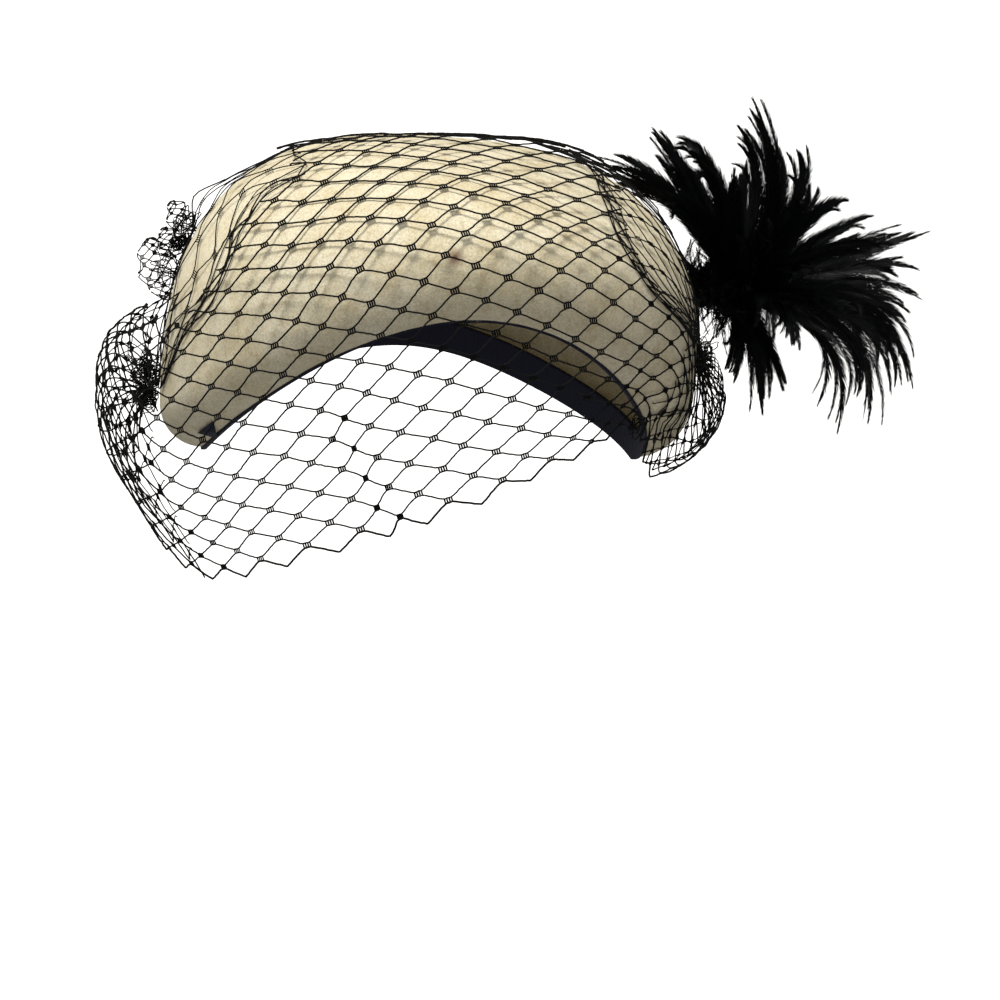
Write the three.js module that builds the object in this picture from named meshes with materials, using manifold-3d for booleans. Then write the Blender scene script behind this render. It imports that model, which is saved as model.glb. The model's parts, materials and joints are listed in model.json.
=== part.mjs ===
// A cocktail hat: a moulded felt headband crown, a net veil caught at both sides, and a
// burst of hackle feathers. Millimetres, +Z up, the wearer faces -Y and +X is the
// wearer's left. The origin is the centre of the head opening, level with the side lobes.
import * as THREE from 'three';
import { mergeVertices } from 'three/addons/utils/BufferGeometryUtils.js';
import Module from 'manifold-3d';

const wasm = await Module();
wasm.setup();

// Felt crown
const HALF_WIDTH = 95.5;
const FRONT_DEPTH = 82;
const BACK_DEPTH = 70;
const CROWN_HEIGHT = 113;
const FELT_WALL = 2.2;
const RIM_HALF_WIDTH = 81;
const RIM_FRONT_DEPTH = 73;
const RIM_BACK_DEPTH = 58;
const FRONT_ARCH = 66;
const BACK_ARCH = 27;
const SIDE_ROLL = 16;
const FRONT_ROLL = 16;
const BACK_ROLL = 20;

// Ribbon inside the head opening
const RIBBON_WIDTH = 12;
const RIBBON_WALL = 1;
const RIBBON_SHOW = 1.2;

// Net veil
const NET_STANDOFF = 3.4;
const NET_WALL = 1;
const NET_BAR = 2.2;
const NET_KNOT = 4.6;
const NET_COLUMNS = 16;
const NET_ROWS = 14;
const NET_LEAN = THREE.MathUtils.degToRad(20);

// Net bunched where it is sewn to the felt
const GATHER_RADIUS = 9;
const GATHER_RUFFLE = 0.16;
const GATHER_PLEATS = 7;

// Feather burst
const HUB_OUT = 31;
const HUB_BACK = 14;
const HUB_UP = 62;
const HUB_RADIUS = 12;
const STEM_RADIUS = 6.5;
const BURST_REACH = 75;
const LOCK_WIDTH = 10;
const LOCK_WALL = 3.2;

const CLEARANCE = 0.3;

// Shape exponents: 2 is an ellipse and more is squarer
const PLAN_EXPONENT = 2;
const ARCH_EXPONENT = 1.3;
const SIDE_EXPONENT = 2.75;
const FRONT_EXPONENT = 2.1;
const BACK_EXPONENT = 2.05;
const ROLL_SHARE = 0.25;

const CROWN_SECTORS = 40;
const CROWN_RINGS = 18;

// Distance from the axis to an oval with its own front and back depth
function ovalRadius(angle, width, front, back) {
  const depth = Math.sin(angle) < 0 ? front : back;
  const across = Math.abs(Math.cos(angle)) / width;
  const along = Math.abs(Math.sin(angle)) / depth;
  return (across ** PLAN_EXPONENT + along ** PLAN_EXPONENT) ** (-1 / PLAN_EXPONENT);
}

// Height of the rim, height of the widest ring and profile exponent at a plan angle
function crownLevels(angle) {
  const isFront = Math.sin(angle) < 0;
  const along = Math.abs(Math.sin(angle));
  const sideShare = Math.cos(angle) ** 2;
  const arch = isFront ? FRONT_ARCH : BACK_ARCH;
  const roll = isFront ? FRONT_ROLL : BACK_ROLL;
  const exponent = isFront ? FRONT_EXPONENT : BACK_EXPONENT;
  const rim = arch * along ** ARCH_EXPONENT;
  return {
    rim,
    widest: rim + THREE.MathUtils.lerp(roll, SIDE_ROLL, sideShare),
    exponent: THREE.MathUtils.lerp(exponent, SIDE_EXPONENT, sideShare),
  };
}

// Point on the felt's outer face, or on one that runs `offset` outside it.
// `rise` goes from 0 at the rim, round the turned-under roll, to 1 at the top.
function crownPoint(angle, rise, offset = 0) {
  const { rim, widest, exponent } = crownLevels(angle);
  const outer = ovalRadius(
    angle, HALF_WIDTH + offset, FRONT_DEPTH + offset, BACK_DEPTH + offset);
  const inner = ovalRadius(
    angle, RIM_HALF_WIDTH + offset, RIM_FRONT_DEPTH + offset, RIM_BACK_DEPTH + offset);
  let radius;
  let height;
  if (rise < ROLL_SHARE) {
    const turn = (rise / ROLL_SHARE) * Math.PI / 2;
    radius = inner + (outer - inner) * Math.sin(turn);
    height = widest - (widest - rim) * Math.cos(turn);
  } else {
    const turn = ((rise - ROLL_SHARE) / (1 - ROLL_SHARE)) * Math.PI / 2;
    radius = outer * Math.max(Math.cos(turn), 0) ** (2 / exponent);
    height = widest + (CROWN_HEIGHT + offset - widest) * Math.sin(turn) ** (2 / exponent);
  }
  return new THREE.Vector3(radius * Math.cos(angle), radius * Math.sin(angle), height);
}

// Moves a point that lies in the felt or in the hollow under it out of them, away from
// the axis. Everything below the rim is free.
const PUSH_LIMIT = 8;
const PUSH_STEPS = 40;
function pushOut(point, offset) {
  const centre = new THREE.Vector3(0, 0, SIDE_ROLL);
  const ray = point.clone().sub(centre);
  const isInside = (scale) => {
    const probe = centre.clone().addScaledVector(ray, scale);
    const angle = Math.atan2(probe.y, probe.x);
    const { rim, widest, exponent } = crownLevels(angle);
    const outer = ovalRadius(
      angle, HALF_WIDTH + offset, FRONT_DEPTH + offset, BACK_DEPTH + offset);
    const inner = ovalRadius(
      angle, RIM_HALF_WIDTH + offset, RIM_FRONT_DEPTH + offset, RIM_BACK_DEPTH + offset);
    const radius = Math.hypot(probe.x, probe.y);
    const drop = Math.max((widest - probe.z) / (widest - rim + offset), 0);
    if (radius >= outer || drop >= 1) {
      return false;
    }
    const lift = (1 - (radius / outer) ** exponent) ** (1 / exponent);
    const isUnderDome = probe.z < widest + (CROWN_HEIGHT + offset - widest) * lift;
    return isUnderDome && radius < inner + (outer - inner) * Math.sqrt(1 - drop ** 2);
  };
  if (!isInside(1)) {
    return point.clone();
  }
  let low = 1;
  let high = PUSH_LIMIT;
  for (let step = 0; step < PUSH_STEPS; step += 1) {
    const middle = (low + high) / 2;
    if (isInside(middle)) {
      low = middle;
    } else {
      high = middle;
    }
  }
  return centre.addScaledVector(ray, high);
}

// Closed mesh from vertices and outward faces of three or four corners
function meshFromFaces(points, faces) {
  const positions = new Float32Array(points.length * 3);
  points.forEach((point, index) => point.toArray(positions, index * 3));
  const corners = [];
  for (const face of faces) {
    corners.push(face[0], face[1], face[2]);
    if (face.length === 4) corners.push(face[0], face[2], face[3]);
  }
  const geometry = new THREE.BufferGeometry();
  geometry.setAttribute('position', new THREE.BufferAttribute(positions, 3));
  geometry.setIndex(corners);
  return geometry;
}

function toManifold(geometry) {
  const bare = geometry.clone();
  bare.deleteAttribute('normal');
  bare.deleteAttribute('uv');
  const merged = mergeVertices(bare, 1e-4);
  return new wasm.Manifold(new wasm.Mesh({
    numProp: 3,
    vertProperties: Float32Array.from(merged.attributes.position.array),
    triVerts: Uint32Array.from(merged.index.array),
  }));
}

function toGeometry(solid) {
  const mesh = solid.getMesh();
  const geometry = new THREE.BufferGeometry();
  geometry.setAttribute('position', new THREE.BufferAttribute(mesh.vertProperties, 3));
  geometry.setIndex(new THREE.BufferAttribute(mesh.triVerts, 1));
  return geometry;
}

// Felt crown: the outer face, and inside it the same face moved in along its normals
function crownGeometry(outside = 0, wall = FELT_WALL) {
  const points = [];
  const faces = [];
  const surface = (angle, rise) => crownPoint(angle, rise, outside);
  const normalAt = (angle, rise) => {
    const step = 1e-3;
    const low = Math.max(rise - step, 0);
    const high = Math.min(rise + step, 1 - step);
    const round = surface(angle + step, rise).sub(surface(angle - step, rise));
    const up = surface(angle, high).sub(surface(angle, low));
    return round.cross(up).normalize();
  };
  const ringStart = (ring, inner) => (inner * CROWN_RINGS + ring) * CROWN_SECTORS;
  for (const inner of [0, 1]) {
    for (let ring = 0; ring < CROWN_RINGS; ring += 1) {
      for (let sector = 0; sector < CROWN_SECTORS; sector += 1) {
        const angle = (sector / CROWN_SECTORS) * 2 * Math.PI;
        const rise = ring / CROWN_RINGS;
        const point = surface(angle, rise);
        points.push(point.addScaledVector(normalAt(angle, rise), -wall * inner));
      }
    }
  }
  const outerTop = points.push(surface(0, 1)) - 1;
  const innerTop = points.push(surface(0, 1).setZ(CROWN_HEIGHT + outside - wall)) - 1;
  for (let sector = 0; sector < CROWN_SECTORS; sector += 1) {
    const next = (sector + 1) % CROWN_SECTORS;
    for (let ring = 0; ring < CROWN_RINGS - 1; ring += 1) {
      const outerLow = ringStart(ring, 0);
      const outerHigh = ringStart(ring + 1, 0);
      const innerLow = ringStart(ring, 1);
      const innerHigh = ringStart(ring + 1, 1);
      faces.push([outerLow + sector, outerLow + next, outerHigh + next, outerHigh + sector]);
      faces.push([innerLow + next, innerLow + sector, innerHigh + sector, innerHigh + next]);
    }
    const outerLast = ringStart(CROWN_RINGS - 1, 0);
    const innerLast = ringStart(CROWN_RINGS - 1, 1);
    faces.push([outerLast + sector, outerLast + next, outerTop]);
    faces.push([innerLast + next, innerLast + sector, innerTop]);
    faces.push([next, sector, ringStart(0, 1) + sector, ringStart(0, 1) + next]);
  }
  return meshFromFaces(points, faces);
}

// Ribbon band just inside the rim's edge, following its arches
function ribbonGeometry() {
  const points = [];
  const faces = [];
  const corners = [
    { inset: CLEARANCE, level: -RIBBON_SHOW },
    { inset: CLEARANCE + RIBBON_WALL, level: -RIBBON_SHOW },
    { inset: CLEARANCE + RIBBON_WALL, level: RIBBON_WIDTH - RIBBON_SHOW },
    { inset: CLEARANCE, level: RIBBON_WIDTH - RIBBON_SHOW },
  ];
  for (let sector = 0; sector < CROWN_SECTORS; sector += 1) {
    const angle = (sector / CROWN_SECTORS) * 2 * Math.PI;
    const edge = ovalRadius(angle, RIM_HALF_WIDTH, RIM_FRONT_DEPTH, RIM_BACK_DEPTH);
    const { rim } = crownLevels(angle);
    for (const { inset, level } of corners) {
      const radius = edge - inset;
      points.push(new THREE.Vector3(
        radius * Math.cos(angle), radius * Math.sin(angle), rim + level));
    }
    const next = ((sector + 1) % CROWN_SECTORS) * 4;
    for (let side = 0; side < 4; side += 1) {
      const after = (side + 1) % 4;
      faces.push([sector * 4 + side, sector * 4 + after, next + after, next + side]);
    }
  }
  return meshFromFaces(points, faces);
}

// Sections of the veil, from the wearer's left round the face to the wearer's right.
// Each section's rows run from the lower selvedge to the upper edge at even steps of the
// net's width: across, forward and up, as shares of HALF_WIDTH, FRONT_DEPTH and
// CROWN_HEIGHT.
const VEIL_SECTIONS = [
  { name: 'left_gather', rows: [
    [1.04, 0.07, 0.32], [1.04, 0.10, 0.34], [1.04, 0.12, 0.36],
    [1.04, 0.11, 0.38], [1.02, 0.07, 0.41], [1.02, -0.02, 0.44]] },
  { name: 'left_pouf', rows: [
    [1.15, -0.10, 0.02], [1.21, -0.06, 0.15], [1.18, 0.00, 0.28],
    [1.07, 0.12, 0.41], [1.00, 0.10, 0.48], [1.01, -0.07, 0.53]] },
  { name: 'left_bag', rows: [
    [0.85, 0.22, -0.02], [1.01, 0.24, 0.08], [1.05, 0.27, 0.25],
    [0.96, 0.30, 0.44], [0.92, 0.22, 0.57], [0.94, -0.07, 0.67]] },
  { name: 'left_corner', rows: [
    [0.65, 0.61, 0.22], [0.76, 0.61, 0.42], [0.79, 0.56, 0.62],
    [0.77, 0.44, 0.75], [0.73, 0.27, 0.84], [0.78, -0.12, 0.86]] },
  { name: 'left_front', rows: [
    [0.35, 0.93, 0.19], [0.47, 0.93, 0.48], [0.55, 0.80, 0.76],
    [0.50, 0.63, 0.94], [0.42, 0.34, 1.02], [0.46, -0.17, 0.99]] },
  { name: 'centre', rows: [
    [-0.02, 1.06, 0.07], [-0.04, 1.06, 0.43], [-0.06, 1.02, 0.76],
    [-0.07, 0.59, 0.95], [-0.07, 0.05, 1.02], [-0.05, -0.45, 0.97]] },
  { name: 'right_front', rows: [
    [-0.54, 1.02, -0.10], [-0.61, 0.93, 0.24], [-0.66, 0.80, 0.53],
    [-0.63, 0.63, 0.80], [-0.54, 0.22, 0.97], [-0.52, -0.27, 0.94]] },
  { name: 'right_corner', rows: [
    [-0.86, 0.61, -0.27], [-1.02, 0.56, 0.04], [-1.06, 0.44, 0.32],
    [-0.89, 0.44, 0.63], [-0.81, 0.12, 0.83], [-0.76, -0.20, 0.86]] },
  { name: 'right_billow', rows: [
    [-1.03, 0.00, -0.25], [-1.20, 0.06, 0.02], [-1.21, 0.06, 0.33],
    [-1.00, 0.00, 0.51], [-0.93, -0.07, 0.69], [-0.88, -0.17, 0.78]] },
  { name: 'right_back', rows: [
    [-1.06, -0.37, -0.14], [-1.18, -0.34, 0.07], [-1.14, -0.32, 0.26],
    [-1.00, -0.15, 0.47], [-0.94, -0.15, 0.63], [-0.89, -0.20, 0.75]] },
  { name: 'right_gather', rows: [
    [-1.04, -0.24, 0.12], [-1.04, -0.21, 0.14], [-1.04, -0.17, 0.18],
    [-1.01, -0.12, 0.47], [-0.95, -0.15, 0.62], [-0.89, -0.20, 0.75]] },
];
const SAMPLES_PER_SPAN = 10;

// Smooth curve through listed points: the uniform Catmull-Rom curve, its ends mirrored
function splinePoint(points, share) {
  const last = points.length - 1;
  const span = Math.min(Math.floor(share * last), last - 1);
  const t = share * last - span;
  const start = points[span];
  const end = points[span + 1];
  const before = span > 0 ? points[span - 1] : start.clone().multiplyScalar(2).sub(end);
  const after = span + 2 <= last
    ? points[span + 2]
    : end.clone().multiplyScalar(2).sub(start);
  const axis = (a, b, c, d) => 0.5 * (2 * b + (c - a) * t
    + (2 * a - 5 * b + 4 * c - d) * t * t + (3 * b - a - 3 * c + d) * t * t * t);
  return new THREE.Vector3(
    axis(before.x, start.x, end.x, after.x),
    axis(before.y, start.y, end.y, after.y),
    axis(before.z, start.z, end.z, after.z));
}

const sectionPoints = VEIL_SECTIONS.map(({ rows }) => rows.map(([across, forward, up]) =>
  new THREE.Vector3(across * HALF_WIDTH, -forward * FRONT_DEPTH, up * CROWN_HEIGHT)));

// One line of the net, from gather to gather at a share of the net's width. It is draped
// clear of the felt, and measured from where the leaning middle plane cuts it.
function netLine(widthShare) {
  const controls = sectionPoints.map((rows) => splinePoint(rows, widthShare));
  const count = (controls.length - 1) * SAMPLES_PER_SPAN;
  const points = [];
  for (let index = 0; index <= count; index += 1) {
    points.push(pushOut(splinePoint(controls, index / count), NET_STANDOFF));
  }
  const lengths = [0];
  for (let index = 1; index <= count; index += 1) {
    lengths.push(lengths[index - 1] + points[index].distanceTo(points[index - 1]));
  }
  const side = ({ x, z }) => x * Math.cos(NET_LEAN) + (z - FRONT_ARCH) * Math.sin(NET_LEAN);
  let crossing = 0;
  while (side(points[crossing + 1]) > 0) {
    crossing += 1;
  }
  const before = side(points[crossing]);
  const after = side(points[crossing + 1]);
  const blend = before / (before - after);
  const middle = THREE.MathUtils.lerp(lengths[crossing], lengths[crossing + 1], blend);
  return { points, lengths, middle };
}

function pointOnLine({ points, lengths, middle }, lengthShare) {
  const total = lengths[lengths.length - 1];
  const wanted = lengthShare < 0.5
    ? middle * lengthShare * 2
    : middle + (total - middle) * (lengthShare * 2 - 1);
  let index = 1;
  while (index < lengths.length - 1 && lengths[index] < wanted) {
    index += 1;
  }
  const blend = (wanted - lengths[index - 1]) / (lengths[index] - lengths[index - 1]);
  return points[index - 1].clone().lerp(points[index], blend);
}

// Net veil: a diamond lattice. Each diamond is a frame round one gap, with its corners at
// the knots and one more point half way along each side, and neighbours share their edges.
function netGeometry() {
  const stepsPerCell = 2;
  const lines = [];
  for (let row = 0; row <= NET_ROWS * stepsPerCell; row += 1) {
    lines.push(netLine(row / (NET_ROWS * stepsPerCell)));
  }
  const at = (column, row) => pointOnLine(lines[row], column / (NET_COLUMNS * stepsPerCell));
  const lastColumn = NET_COLUMNS * stepsPerCell;
  const lastRow = NET_ROWS * stepsPerCell;
  const normalAt = (column, row) => {
    const along = at(Math.min(column + 1, lastColumn), row)
      .sub(at(Math.max(column - 1, 0), row));
    const up = at(column, Math.min(row + 1, lastRow)).sub(at(column, Math.max(row - 1, 0)));
    return up.cross(along).normalize();
  };
  const outline = [
    [-2, 0], [-1, -1], [0, -2], [1, -1], [2, 0], [1, 1], [0, 2], [-1, 1]];
  const points = [];
  const faces = [];
  const shared = new Map();
  const edgeUses = new Map();
  const addPair = (point, normal) => {
    points.push(point.clone().addScaledVector(normal, NET_WALL / 2));
    points.push(point.clone().addScaledVector(normal, -NET_WALL / 2));
    return points.length - 2;
  };
  const frames = [];
  for (let row = stepsPerCell; row < lastRow; row += stepsPerCell) {
    for (let column = stepsPerCell; column < lastColumn; column += stepsPerCell) {
      if ((row + column) % (2 * stepsPerCell) === stepsPerCell) {
        frames.push([column, row]);
      }
    }
  }
  for (const [column, row] of frames) {
    const centre = at(column, row);
    const ring = outline.map(([across, up], corner) => {
      const place = [column + across, row + up];
      const key = place.join();
      const point = at(...place);
      const normal = normalAt(...place);
      if (!shared.has(key)) {
        shared.set(key, addPair(point, normal));
      }
      const inward = centre.clone().sub(point);
      const bar = (corner % 2 ? NET_BAR : NET_KNOT) / 2;
      const inset = Math.min(bar, inward.length() * 0.5);
      const hole = point.addScaledVector(inward.normalize(), inset);
      return { outer: shared.get(key), inner: addPair(hole, normal) };
    });
    ring.forEach(({ outer, inner }, corner) => {
      const next = ring[(corner + 1) % ring.length];
      faces.push([outer, inner, next.inner, next.outer]);
      faces.push([outer + 1, next.outer + 1, next.inner + 1, inner + 1]);
      faces.push([inner, inner + 1, next.inner + 1, next.inner]);
      const edge = [outer, next.outer];
      const twin = [next.outer, outer].join();
      if (edgeUses.has(twin)) {
        edgeUses.delete(twin);
      } else {
        edgeUses.set(edge.join(), edge);
      }
    });
  }
  for (const [from, to] of edgeUses.values()) {
    faces.push([from, to, to + 1, from + 1]);
  }
  return meshFromFaces(points, faces);
}

// Where the net is sewn down: which end of its lines, from and to which share of its
// width they are bunched together, and the bunch's share of GATHER_RADIUS
const GATHERS = [
  { end: 0, from: 0, to: 1, size: 1 },
  { end: -1, from: 0, to: 0.4, size: 1 },
  { end: -1, from: 0.55, to: 0.65, size: 0.75 },
  { end: -1, from: 0.8, to: 1, size: 0.8 },
];

function largestPart(solid) {
  return solid.decompose().reduce((best, part) =>
    (part.volume() > best.volume() ? part : best));
}

// A pleated bunch of net: a ball drawn out along the sewn line, its skin ruffled into
// pleats
function gatherGeometry({ end, from, to, size }) {
  const low = netLine(from).points.at(end);
  const high = netLine(to).points.at(end);
  const radius = GATHER_RADIUS * size;
  const centre = low.clone().lerp(high, 0.5);
  const axis = high.clone().sub(low);
  const stretch = 1 + axis.length() / 2 / radius;
  const ball = new THREE.SphereGeometry(radius, GATHER_PLEATS * 2, 6);
  const place = ball.attributes.position;
  for (let index = 0; index < place.count; index += 1) {
    const point = new THREE.Vector3().fromBufferAttribute(place, index);
    const turn = Math.atan2(point.z, point.x);
    const ruffle = 1 + GATHER_RUFFLE * Math.cos(GATHER_PLEATS * turn);
    place.setXYZ(index, point.x * ruffle, point.y * stretch, point.z * ruffle);
  }
  const turned = new THREE.Quaternion().setFromUnitVectors(
    new THREE.Vector3(0, 1, 0), axis.normalize());
  ball.applyQuaternion(turned);
  ball.translate(centre.x, centre.y, centre.z);
  return ball;
}

// Net veil: the lattice fused to its bunched ends, which are cut clear of the felt
function veilGeometry(feltClearance) {
  let veil = toManifold(netGeometry());
  for (const gather of GATHERS) {
    const bunch = toManifold(gatherGeometry(gather)).subtract(feltClearance);
    veil = veil.add(largestPart(bunch));
  }
  return toGeometry(veil);
}

// Feather locks: where each tip lies from the hub, as shares of BURST_REACH across,
// forward and up, and how far the lock bows to the left of its way out
const FEATHER_LOCKS = [
  [-0.91, -0.27, 0.62, -0.16], [-0.65, -0.45, 0.56, -0.16], [-0.71, 0.13, 0.82, -0.14],
  [-0.81, 0.35, 0.78, -0.14], [-0.51, -0.13, 0.77, -0.10], [-0.41, 0.48, 0.68, -0.08],
  [-0.23, 0.03, 0.86, -0.06], [-0.27, 0.24, 0.97, -0.10], [-0.06, -0.16, 0.97, -0.05],
  [-0.03, 0.37, 0.79, 0.05], [0.35, -0.27, 0.51, 0.08], [0.16, 0.53, 0.59, 0.06],
  [0.62, -0.05, 0.43, -0.06], [0.81, 0.16, 0.41, -0.08], [0.68, 0.43, 0.24, -0.06],
  [0.95, 0.00, -0.01, 0.08], [0.59, 0.59, 0.01, 0.08], [0.87, 0.13, -0.27, 0.12],
  [1.00, -0.16, -0.50, 0.16], [0.69, 0.35, -0.44, 0.14], [0.84, 0.00, -0.67, 0.18],
  [0.49, 0.48, -0.50, 0.12], [0.51, 0.19, -0.72, 0.12], [0.82, -0.35, -0.52, 0.12],
  [0.02, 0.48, -0.41, 0.06], [0.13, -0.03, -0.65, 0.06], [0.14, -0.27, -0.63, 0.04],
  [-0.01, -0.21, -0.49, 0.00], [-0.19, 0.88, 0.37, 0.00], [-0.27, 0.85, 0.00, 0.00],
  [-0.02, 0.80, 0.13, 0.00], [0.15, -0.67, 0.09, 0.00], [0.47, -0.72, 0.37, 0.05],
  [0.85, -0.75, -0.05, 0.08], [0.59, -0.69, -0.45, 0.08], [0.14, -0.64, -0.34, 0.00],
];
const LOCK_SIDES = 4;
// Width of a lock along its length, as shares of LOCK_WIDTH
const LOCK_PROFILE = [0.55, 1, 0.95, 0.55, 0.12];

// One lock: a flat four-sided blade along a bowed path
function lockGeometry(hub, [across, forward, up, bow]) {
  const reach = new THREE.Vector3(across, -forward, up).multiplyScalar(BURST_REACH);
  const tip = hub.clone().add(reach);
  const leftward = new THREE.Vector3(-reach.z, 0, reach.x).multiplyScalar(bow);
  const bend = hub.clone().addScaledVector(reach, 0.5).add(leftward.multiplyScalar(2));
  const path = new THREE.QuadraticBezierCurve3(hub, bend, tip);
  const facing = Math.abs(forward) > Math.hypot(across, up)
    ? new THREE.Vector3(0, 0, 1)
    : new THREE.Vector3(0, 1, 0);
  const points = [];
  const faces = [];
  const last = LOCK_PROFILE.length - 1;
  LOCK_PROFILE.forEach((share, station) => {
    const place = path.getPoint(station / last);
    const ahead = path.getTangent(station / last);
    const sideways = ahead.clone().cross(facing).normalize();
    const through = sideways.clone().cross(ahead).normalize();
    const halfWidth = share * LOCK_WIDTH / 2;
    const halfWall = share * LOCK_WALL / 2;
    points.push(place.clone().addScaledVector(sideways, halfWidth));
    points.push(place.clone().addScaledVector(through, halfWall));
    points.push(place.clone().addScaledVector(sideways, -halfWidth));
    points.push(place.clone().addScaledVector(through, -halfWall));
  });
  for (let station = 0; station < last; station += 1) {
    const from = station * LOCK_SIDES;
    const to = from + LOCK_SIDES;
    for (let side = 0; side < LOCK_SIDES; side += 1) {
      const next = (side + 1) % LOCK_SIDES;
      faces.push([from + side, to + side, to + next, from + next]);
    }
  }
  const end = last * LOCK_SIDES;
  faces.push([0, 1, 2, 3]);
  faces.push([end + 3, end + 2, end + 1, end]);
  return meshFromFaces(points, faces);
}

// Feather burst: locks and a bound stem fused to one hub, the stem's foot on the felt
function feathersGeometry(feltClearance) {
  const hub = new THREE.Vector3(HALF_WIDTH + HUB_OUT, HUB_BACK, HUB_UP);
  const ball = new THREE.SphereGeometry(HUB_RADIUS, 10, 6);
  ball.translate(hub.x, hub.y, hub.z);
  const stem = new THREE.CylinderGeometry(STEM_RADIUS, STEM_RADIUS, 2 * HUB_OUT, 8);
  stem.rotateZ(Math.PI / 2);
  stem.translate(hub.x - HUB_OUT, hub.y, hub.z);
  let burst = toManifold(ball).add(toManifold(stem));
  for (const lock of FEATHER_LOCKS) {
    burst = burst.add(toManifold(lockGeometry(hub, lock)));
  }
  return toGeometry(largestPart(burst.subtract(feltClearance)));
}

const group = new THREE.Group();

function addPiece(name, geometry, color, roughness) {
  const material = new THREE.MeshStandardMaterial({ color, roughness, metalness: 0 });
  const mesh = new THREE.Mesh(geometry, material);
  mesh.name = name;
  group.add(mesh);
}

addPiece('crown', crownGeometry(), 0xcbbf9b, 0.95);
addPiece('inner_ribbon', ribbonGeometry(), 0x10121f, 0.8);

const feltClearance = toManifold(crownGeometry(CLEARANCE, FELT_WALL + 2 * CLEARANCE));
addPiece('veil', veilGeometry(feltClearance), 0x111111, 0.7);
addPiece('feathers', feathersGeometry(feltClearance), 0x0a0c0e, 0.6);

export default group;
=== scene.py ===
"""Cocktail hat: a pale felt headband crown, a birdcage veil of knotted net and a burst of
black hackle feathers. Metres, +Z up; the wearer faces -Y and +X is the wearer's left."""

import json
import math

import bpy
import numpy as np
from mathutils import Matrix


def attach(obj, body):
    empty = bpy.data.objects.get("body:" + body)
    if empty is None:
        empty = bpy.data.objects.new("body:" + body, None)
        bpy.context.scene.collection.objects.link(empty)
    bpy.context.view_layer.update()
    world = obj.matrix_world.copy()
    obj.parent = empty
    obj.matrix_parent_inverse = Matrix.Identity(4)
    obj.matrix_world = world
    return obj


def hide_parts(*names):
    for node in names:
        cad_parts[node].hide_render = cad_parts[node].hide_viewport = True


bl_info = {
    "name": "Cocktail hat",
    "version": (1, 0, 0),
    "blender": (4, 5, 0),
    "location": "3D View > Sidebar > Hat",
    "description": "Dresses the cocktail hat: felt, ribbon, veil and feathers",
    "category": "Object",
}

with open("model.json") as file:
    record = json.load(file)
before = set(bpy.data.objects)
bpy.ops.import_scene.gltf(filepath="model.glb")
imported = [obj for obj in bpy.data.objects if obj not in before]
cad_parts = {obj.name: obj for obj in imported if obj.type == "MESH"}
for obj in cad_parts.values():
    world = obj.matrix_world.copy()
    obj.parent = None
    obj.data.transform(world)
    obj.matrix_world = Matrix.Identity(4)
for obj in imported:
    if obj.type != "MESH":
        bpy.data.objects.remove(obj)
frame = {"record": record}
FINISH = {entry["slot"]: entry for entry in frame["record"]["materials"]}

MM = 0.001

# Felt crown
HALF_WIDTH = 95.5 * MM
FRONT_DEPTH = 82 * MM
BACK_DEPTH = 70 * MM
CROWN_HEIGHT = 113 * MM
RIM_HALF_WIDTH = 81 * MM
RIM_FRONT_DEPTH = 73 * MM
RIM_BACK_DEPTH = 58 * MM
FRONT_ARCH = 66 * MM
BACK_ARCH = 27 * MM
SIDE_ROLL = 16 * MM
FRONT_ROLL = 16 * MM
BACK_ROLL = 20 * MM
ARCH_EXPONENT = 1.3
SIDE_EXPONENT = 2.75
FRONT_EXPONENT = 2.1
BACK_EXPONENT = 2.05
ROLL_SHARE = 0.25
FELT_AROUND, FELT_UP = 288, 110
NAP_FIBRES = 30000
# Unevenness of the felt's face: height and length of its waves in mm, and their seed
FELT_WAVES = ((0.35, 34, 3), (0.12, 9, 4))

# Ribbon
RIBBON_AROUND, RIBBON_UP = 360, 14
RIBBON_SHOW = 1.0 * MM
RIBBON_GAP = 0.3 * MM
RIBBON_WALL = 1.4 * MM
RIBBON_RIBS = 300

# Veil
NET_LEAN = math.radians(20)
NET_HALF_ROWS = 34
NET_CLEARANCE = 0.65 * MM
NET_STAND_OFF = 2.6 * MM
NET_BULGE = 0.75
NET_REACH = 0.3
NET_SEED = 5
NET_SLIP = 0.016
NET_KINK = 0.07 * MM
KNOT_SHARE = 0.16
SELVEDGE_WEIGHT = 1.3
KNOT_MARGIN = 2 * MM
STRIP_STAND_OFF = 0.8 * MM
PUSH_LIMIT, PUSH_STEPS = 8.0, 30
FOLD_REACH, FOLD_OVERRUN = 7 * MM, 1.5 * MM
FOLD_CORDS, FOLD_SEED = 3, 21
CREASE_SLIP, CREASE_SPAN, CREASE_REACH = 3 * MM, 6 * MM, 40 * MM
PUFF_MESH, PUFF_ROWS = (12, 7.5), 8
BUNCH_THREAD = 0.7

# Feather burst
HUB = np.array([126.5, 14, 62]) * MM
CORE = np.array([119, 14, 62]) * MM
STEM_RADIUS, STEM_SIDES = 4.5 * MM, 16
FLUFF_FEATHERS, FLUFF_BARBS = 300, 42


def mix(a, b, share):
    """a at share 0, b at share 1, and a straight blend between."""
    return a + (b - a) * share


def smooth(share):
    """The S-shaped step 3s^2 - 2s^3, flat at 0 and 1."""
    share = np.clip(share, 0, 1)
    return share * share * (3 - 2 * share)


def unit(vectors):
    """Vectors divided by their lengths."""
    length = np.linalg.norm(vectors, axis=-1, keepdims=True)
    return vectors / np.maximum(length, 1e-12)


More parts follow.
